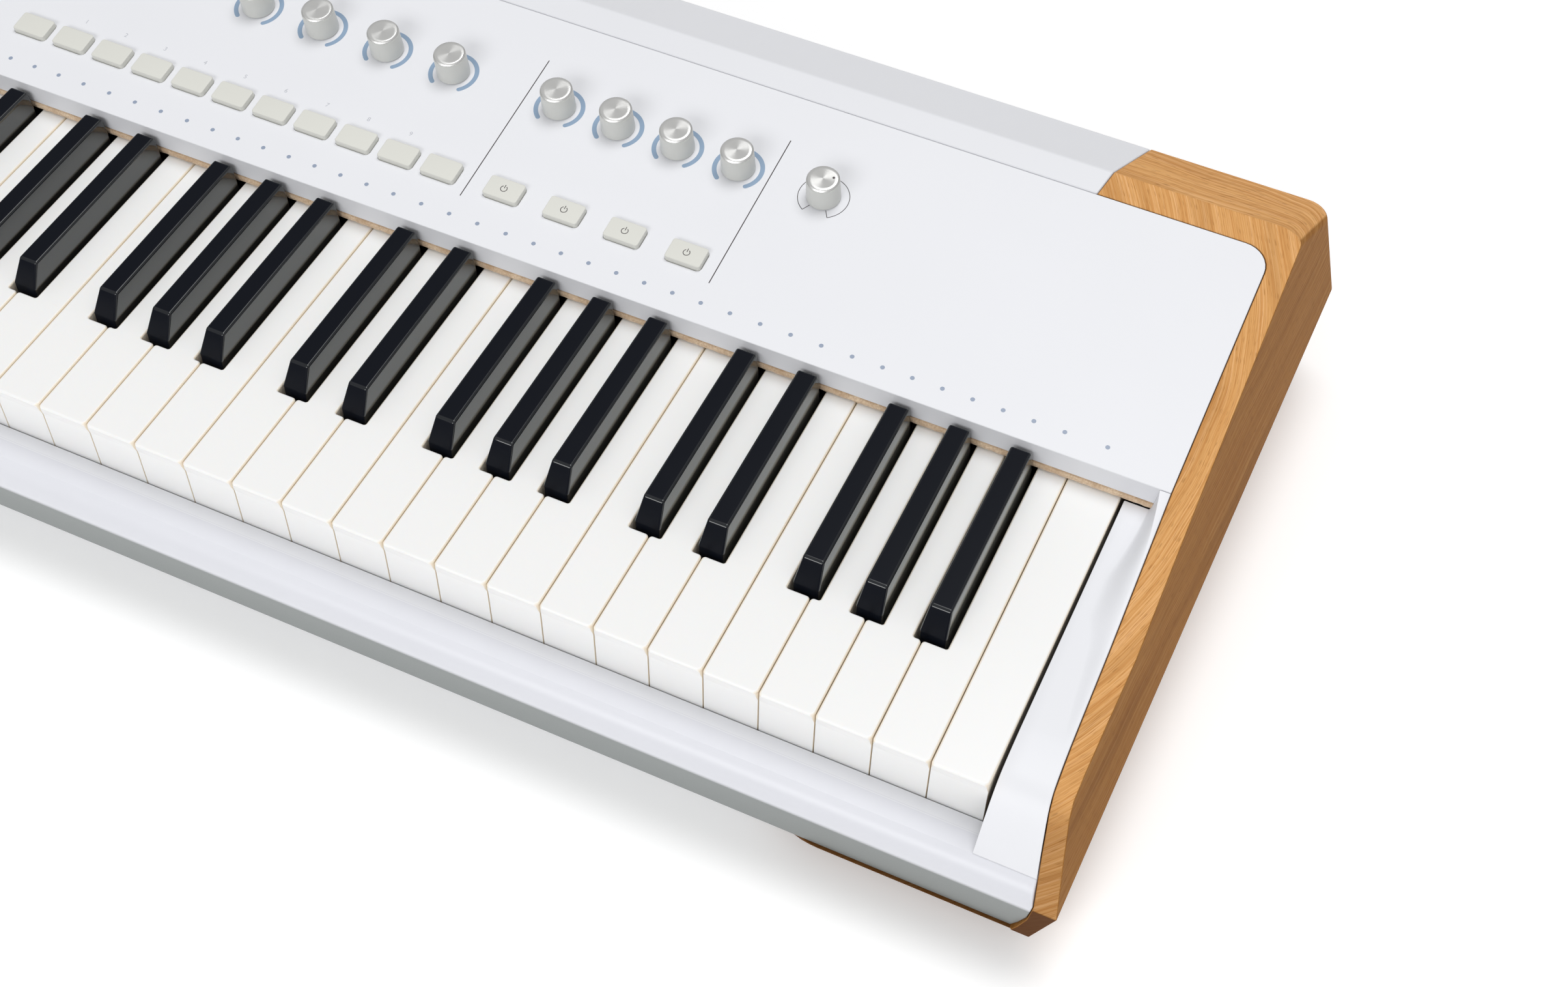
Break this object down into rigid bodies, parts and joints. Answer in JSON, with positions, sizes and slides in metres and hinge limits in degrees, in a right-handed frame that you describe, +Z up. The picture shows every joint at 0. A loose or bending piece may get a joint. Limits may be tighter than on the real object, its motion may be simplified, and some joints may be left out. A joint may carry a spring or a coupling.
{
  "type": "stage piano",
  "caption": "Slim stage piano: hinged weighted keys under a sloping white control panel with knobs, buttons and a round display, between faceted oak ends.",
  "frame": {"origin": "centre of the footprint, on the surface that the feet stand on", "axes": "+X to the player's right along the keyboard, +Y from the player to the rear, +Z up"},
  "size_m": [1.3112, 0.3508, 0.1193],
  "materials": {
    "cream_white_plastic": "satin",
    "hood_white_plastic": "satin",
    "case_grey_plastic": "fine grain",
    "oak": "oiled, satin",
    "key_white_plastic": "soft gloss",
    "key_black_plastic": "fine grain, satin",
    "tan_felt": "wool felt",
    "plated_steel": "zinc plated",
    "circuit_board": "lacquered",
    "display_glass": "polished",
    "button_plastic": "satin",
    "knob_aluminium": "spun cap on a light grey skirt",
    "wheel_rubber": "soft touch",
    "socket_black_plastic": "satin",
    "foot_rubber": "matt"
  },
  "bodies": {
    "housing": {"bottom_case": "case_grey_plastic", "wood_end_left": "oak", "wood_end_right": "oak", "cheek_block_left": "cream_white_plastic", "cheek_block_right": "cream_white_plastic", "key_slip": "hood_white_plastic", "rear_hood": "hood_white_plastic", "top_panel": "cream_white_plastic", "key_felt": "tan_felt", "key_bed": "plated_steel", "white_keys": "key_white_plastic", "black_keys": "key_black_plastic", "control_board": "circuit_board", "display": "display_glass", "socket_panel": "socket_black_plastic", "foot_front_left": "foot_rubber", "foot_front_right": "foot_rubber", "foot_rear_left": "foot_rubber", "foot_rear_right": "foot_rubber"},
    "key_7_c": {"key_7_c": "key_white_plastic"},
    "key_7_c_sharp": {"key_7_c_sharp": "key_black_plastic"},
    "key_7_d": {"key_7_d": "key_white_plastic"},
    "key_7_d_sharp": {"key_7_d_sharp": "key_black_plastic"},
    "key_7_e": {"key_7_e": "key_white_plastic"},
    "key_7_f": {"key_7_f": "key_white_plastic"},
    "key_7_f_sharp": {"key_7_f_sharp": "key_black_plastic"},
    "key_7_g": {"key_7_g": "key_white_plastic"},
    "key_7_g_sharp": {"key_7_g_sharp": "key_black_plastic"},
    "key_7_a": {"key_7_a": "key_white_plastic"},
    "key_7_a_sharp": {"key_7_a_sharp": "key_black_plastic"},
    "key_7_b": {"key_7_b": "key_white_plastic"},
    "key_8_c": {"key_8_c": "key_white_plastic"},
    "category_button_1": {"category_button_1": "button_plastic"},
    "category_button_2": {"category_button_2": "button_plastic"},
    "category_button_3": {"category_button_3": "button_plastic"},
    "category_button_4": {"category_button_4": "button_plastic"},
    "category_button_5": {"category_button_5": "button_plastic"},
    "category_button_6": {"category_button_6": "button_plastic"},
    "category_button_7": {"category_button_7": "button_plastic"},
    "category_button_8": {"category_button_8": "button_plastic"},
    "category_button_9": {"category_button_9": "button_plastic"},
    "category_button_10": {"category_button_10": "button_plastic"},
    "category_button_11": {"category_button_11": "button_plastic"},
    "effect_button_1": {"effect_button_1": "button_plastic"},
    "effect_button_2": {"effect_button_2": "button_plastic"},
    "effect_button_3": {"effect_button_3": "button_plastic"},
    "effect_button_4": {"effect_button_4": "button_plastic"},
    "macro_knob_1": {"macro_knob_1": "knob_aluminium"},
    "macro_knob_2": {"macro_knob_2": "knob_aluminium"},
    "macro_knob_3": {"macro_knob_3": "knob_aluminium"},
    "macro_knob_4": {"macro_knob_4": "knob_aluminium"},
    "effect_knob_1": {"effect_knob_1": "knob_aluminium"},
    "effect_knob_2": {"effect_knob_2": "knob_aluminium"},
    "effect_knob_3": {"effect_knob_3": "knob_aluminium"},
    "effect_knob_4": {"effect_knob_4": "knob_aluminium"},
    "volume_knob": {"volume_knob": "knob_aluminium"},
    "navigation_dial": {"navigation_dial": "knob_aluminium"},
    "pitch_wheel": {"pitch_wheel": "wheel_rubber"},
    "modulation_wheel": {"modulation_wheel": "wheel_rubber"},
    "power_button": {"power_button": "socket_black_plastic"}
  },
  "joints": [
    {"name": "key_7_c_press", "type": "hinge", "parent": "housing", "child": "key_7_c", "pos_m": [0.43005, 0.05906, 0.07], "axis": [1, 0, 0], "range_deg": [0, 2.7], "stiffness_Nm_per_rad": 0.36, "springref_deg": -28.65},
    {"name": "key_7_c_sharp_press", "type": "hinge", "parent": "housing", "child": "key_7_c_sharp", "pos_m": [0.44415, 0.05906, 0.07], "axis": [1, 0, 0], "range_deg": [0, 2.7], "stiffness_Nm_per_rad": 0.28, "springref_deg": -28.65},
    {"name": "key_7_d_press", "type": "hinge", "parent": "housing", "child": "key_7_d", "pos_m": [0.45825, 0.05906, 0.07], "axis": [1, 0, 0], "range_deg": [0, 2.7], "stiffness_Nm_per_rad": 0.36, "springref_deg": -28.65},
    {"name": "key_7_d_sharp_press", "type": "hinge", "parent": "housing", "child": "key_7_d_sharp", "pos_m": [0.47235, 0.05906, 0.07], "axis": [1, 0, 0], "range_deg": [0, 2.7], "stiffness_Nm_per_rad": 0.28, "springref_deg": -28.65},
    {"name": "key_7_e_press", "type": "hinge", "parent": "housing", "child": "key_7_e", "pos_m": [0.48645, 0.05906, 0.07], "axis": [1, 0, 0], "range_deg": [0, 2.7], "stiffness_Nm_per_rad": 0.36, "springref_deg": -28.65},
    {"name": "key_7_f_press", "type": "hinge", "parent": "housing", "child": "key_7_f", "pos_m": [0.50021, 0.05906, 0.07], "axis": [1, 0, 0], "range_deg": [0, 2.7], "stiffness_Nm_per_rad": 0.36, "springref_deg": -28.65},
    {"name": "key_7_f_sharp_press", "type": "hinge", "parent": "housing", "child": "key_7_f_sharp", "pos_m": [0.51364, 0.05906, 0.07], "axis": [1, 0, 0], "range_deg": [0, 2.7], "stiffness_Nm_per_rad": 0.28, "springref_deg": -28.65},
    {"name": "key_7_g_press", "type": "hinge", "parent": "housing", "child": "key_7_g", "pos_m": [0.52707, 0.05906, 0.07], "axis": [1, 0, 0], "range_deg": [0, 2.7], "stiffness_Nm_per_rad": 0.36, "springref_deg": -28.65},
    {"name": "key_7_g_sharp_press", "type": "hinge", "parent": "housing", "child": "key_7_g_sharp", "pos_m": [0.5405, 0.05906, 0.07], "axis": [1, 0, 0], "range_deg": [0, 2.7], "stiffness_Nm_per_rad": 0.28, "springref_deg": -28.65},
    {"name": "key_7_a_press", "type": "hinge", "parent": "housing", "child": "key_7_a", "pos_m": [0.55393, 0.05906, 0.07], "axis": [1, 0, 0], "range_deg": [0, 2.7], "stiffness_Nm_per_rad": 0.36, "springref_deg": -28.65},
    {"name": "key_7_a_sharp_press", "type": "hinge", "parent": "housing", "child": "key_7_a_sharp", "pos_m": [0.56736, 0.05906, 0.07], "axis": [1, 0, 0], "range_deg": [0, 2.7], "stiffness_Nm_per_rad": 0.28, "springref_deg": -28.65},
    {"name": "key_7_b_press", "type": "hinge", "parent": "housing", "child": "key_7_b", "pos_m": [0.58079, 0.05906, 0.07], "axis": [1, 0, 0], "range_deg": [0, 2.7], "stiffness_Nm_per_rad": 0.36, "springref_deg": -28.65},
    {"name": "key_8_c_press", "type": "hinge", "parent": "housing", "child": "key_8_c", "pos_m": [0.59455, 0.05906, 0.07], "axis": [1, 0, 0], "range_deg": [0, 2.7], "stiffness_Nm_per_rad": 0.36, "springref_deg": -28.65},
    {"name": "category_button_1_press", "type": "slide", "parent": "housing", "child": "category_button_1", "axis": [0, 0.1392, -0.9903], "range_m": [0, 0.001], "stiffness_N_per_m": 150, "springref_m": -0.004},
    {"name": "category_button_2_press", "type": "slide", "parent": "housing", "child": "category_button_2", "axis": [0, 0.1392, -0.9903], "range_m": [0, 0.001], "stiffness_N_per_m": 150, "springref_m": -0.004},
    {"name": "category_button_3_press", "type": "slide", "parent": "housing", "child": "category_button_3", "axis": [0, 0.1392, -0.9903], "range_m": [0, 0.001], "stiffness_N_per_m": 150, "springref_m": -0.004},
    {"name": "category_button_4_press", "type": "slide", "parent": "housing", "child": "category_button_4", "axis": [0, 0.1392, -0.9903], "range_m": [0, 0.001], "stiffness_N_per_m": 150, "springref_m": -0.004},
    {"name": "category_button_5_press", "type": "slide", "parent": "housing", "child": "category_button_5", "axis": [0, 0.1392, -0.9903], "range_m": [0, 0.001], "stiffness_N_per_m": 150, "springref_m": -0.004},
    {"name": "category_button_6_press", "type": "slide", "parent": "housing", "child": "category_button_6", "axis": [0, 0.1392, -0.9903], "range_m": [0, 0.001], "stiffness_N_per_m": 150, "springref_m": -0.004},
    {"name": "category_button_7_press", "type": "slide", "parent": "housing", "child": "category_button_7", "axis": [0, 0.1392, -0.9903], "range_m": [0, 0.001], "stiffness_N_per_m": 150, "springref_m": -0.004},
    {"name": "category_button_8_press", "type": "slide", "parent": "housing", "child": "category_button_8", "axis": [0, 0.1392, -0.9903], "range_m": [0, 0.001], "stiffness_N_per_m": 150, "springref_m": -0.004},
    {"name": "category_button_9_press", "type": "slide", "parent": "housing", "child": "category_button_9", "axis": [0, 0.1392, -0.9903], "range_m": [0, 0.001], "stiffness_N_per_m": 150, "springref_m": -0.004},
    {"name": "category_button_10_press", "type": "slide", "parent": "housing", "child": "category_button_10", "axis": [0, 0.1392, -0.9903], "range_m": [0, 0.001], "stiffness_N_per_m": 150, "springref_m": -0.004},
    {"name": "category_button_11_press", "type": "slide", "parent": "housing", "child": "category_button_11", "axis": [0, 0.1392, -0.9903], "range_m": [0, 0.001], "stiffness_N_per_m": 150, "springref_m": -0.004},
    {"name": "effect_button_1_press", "type": "slide", "parent": "housing", "child": "effect_button_1", "axis": [0, 0.1392, -0.9903], "range_m": [0, 0.001], "stiffness_N_per_m": 150, "springref_m": -0.004},
    {"name": "effect_button_2_press", "type": "slide", "parent": "housing", "child": "effect_button_2", "axis": [0, 0.1392, -0.9903], "range_m": [0, 0.001], "stiffness_N_per_m": 150, "springref_m": -0.004},
    {"name": "effect_button_3_press", "type": "slide", "parent": "housing", "child": "effect_button_3", "axis": [0, 0.1392, -0.9903], "range_m": [0, 0.001], "stiffness_N_per_m": 150, "springref_m": -0.004},
    {"name": "effect_button_4_press", "type": "slide", "parent": "housing", "child": "effect_button_4", "axis": [0, 0.1392, -0.9903], "range_m": [0, 0.001], "stiffness_N_per_m": 150, "springref_m": -0.004},
    {"name": "macro_knob_1_turn", "type": "hinge", "parent": "housing", "child": "macro_knob_1", "pos_m": [0.1513, 0.07636, 0.1055], "axis": [0, -0.1392, 0.9903], "continuous": true},
    {"name": "macro_knob_2_turn", "type": "hinge", "parent": "housing", "child": "macro_knob_2", "pos_m": [0.1862, 0.07636, 0.1055], "axis": [0, -0.1392, 0.9903], "continuous": true},
    {"name": "macro_knob_3_turn", "type": "hinge", "parent": "housing", "child": "macro_knob_3", "pos_m": [0.2211, 0.07636, 0.1055], "axis": [0, -0.1392, 0.9903], "continuous": true},
    {"name": "macro_knob_4_turn", "type": "hinge", "parent": "housing", "child": "macro_knob_4", "pos_m": [0.256, 0.07636, 0.1055], "axis": [0, -0.1392, 0.9903], "continuous": true},
    {"name": "effect_knob_1_turn", "type": "hinge", "parent": "housing", "child": "effect_knob_1", "pos_m": [0.3107, 0.07636, 0.1055], "axis": [0, -0.1392, 0.9903], "continuous": true},
    {"name": "effect_knob_2_turn", "type": "hinge", "parent": "housing", "child": "effect_knob_2", "pos_m": [0.3405, 0.07636, 0.1055], "axis": [0, -0.1392, 0.9903], "continuous": true},
    {"name": "effect_knob_3_turn", "type": "hinge", "parent": "housing", "child": "effect_knob_3", "pos_m": [0.3703, 0.07636, 0.1055], "axis": [0, -0.1392, 0.9903], "continuous": true},
    {"name": "effect_knob_4_turn", "type": "hinge", "parent": "housing", "child": "effect_knob_4", "pos_m": [0.4001, 0.07636, 0.1055], "axis": [0, -0.1392, 0.9903], "continuous": true},
    {"name": "volume_knob_turn", "type": "hinge", "parent": "housing", "child": "volume_knob", "pos_m": [0.4413, 0.07636, 0.1055], "axis": [0, -0.1392, 0.9903], "range_deg": [-84, 214]},
    {"name": "navigation_dial_turn", "type": "hinge", "parent": "housing", "child": "navigation_dial", "pos_m": [-0.052, 0.05992, 0.10318], "axis": [0, -0.1392, 0.9903], "continuous": true},
    {"name": "pitch_wheel_turn", "type": "hinge", "parent": "housing", "child": "pitch_wheel", "pos_m": [-0.5781, 0.06089, 0.09625], "axis": [-1, 0, 0], "range_deg": [-35, 35], "stiffness_Nm_per_rad": 0.03},
    {"name": "modulation_wheel_turn", "type": "hinge", "parent": "housing", "child": "modulation_wheel", "pos_m": [-0.5461, 0.06089, 0.09625], "axis": [-1, 0, 0], "range_deg": [0, 72]},
    {"name": "power_button_press", "type": "slide", "parent": "housing", "child": "power_button", "axis": [0, -1, 0], "range_m": [0, 0.002], "stiffness_N_per_m": 150, "springref_m": -0.004}
  ]
}
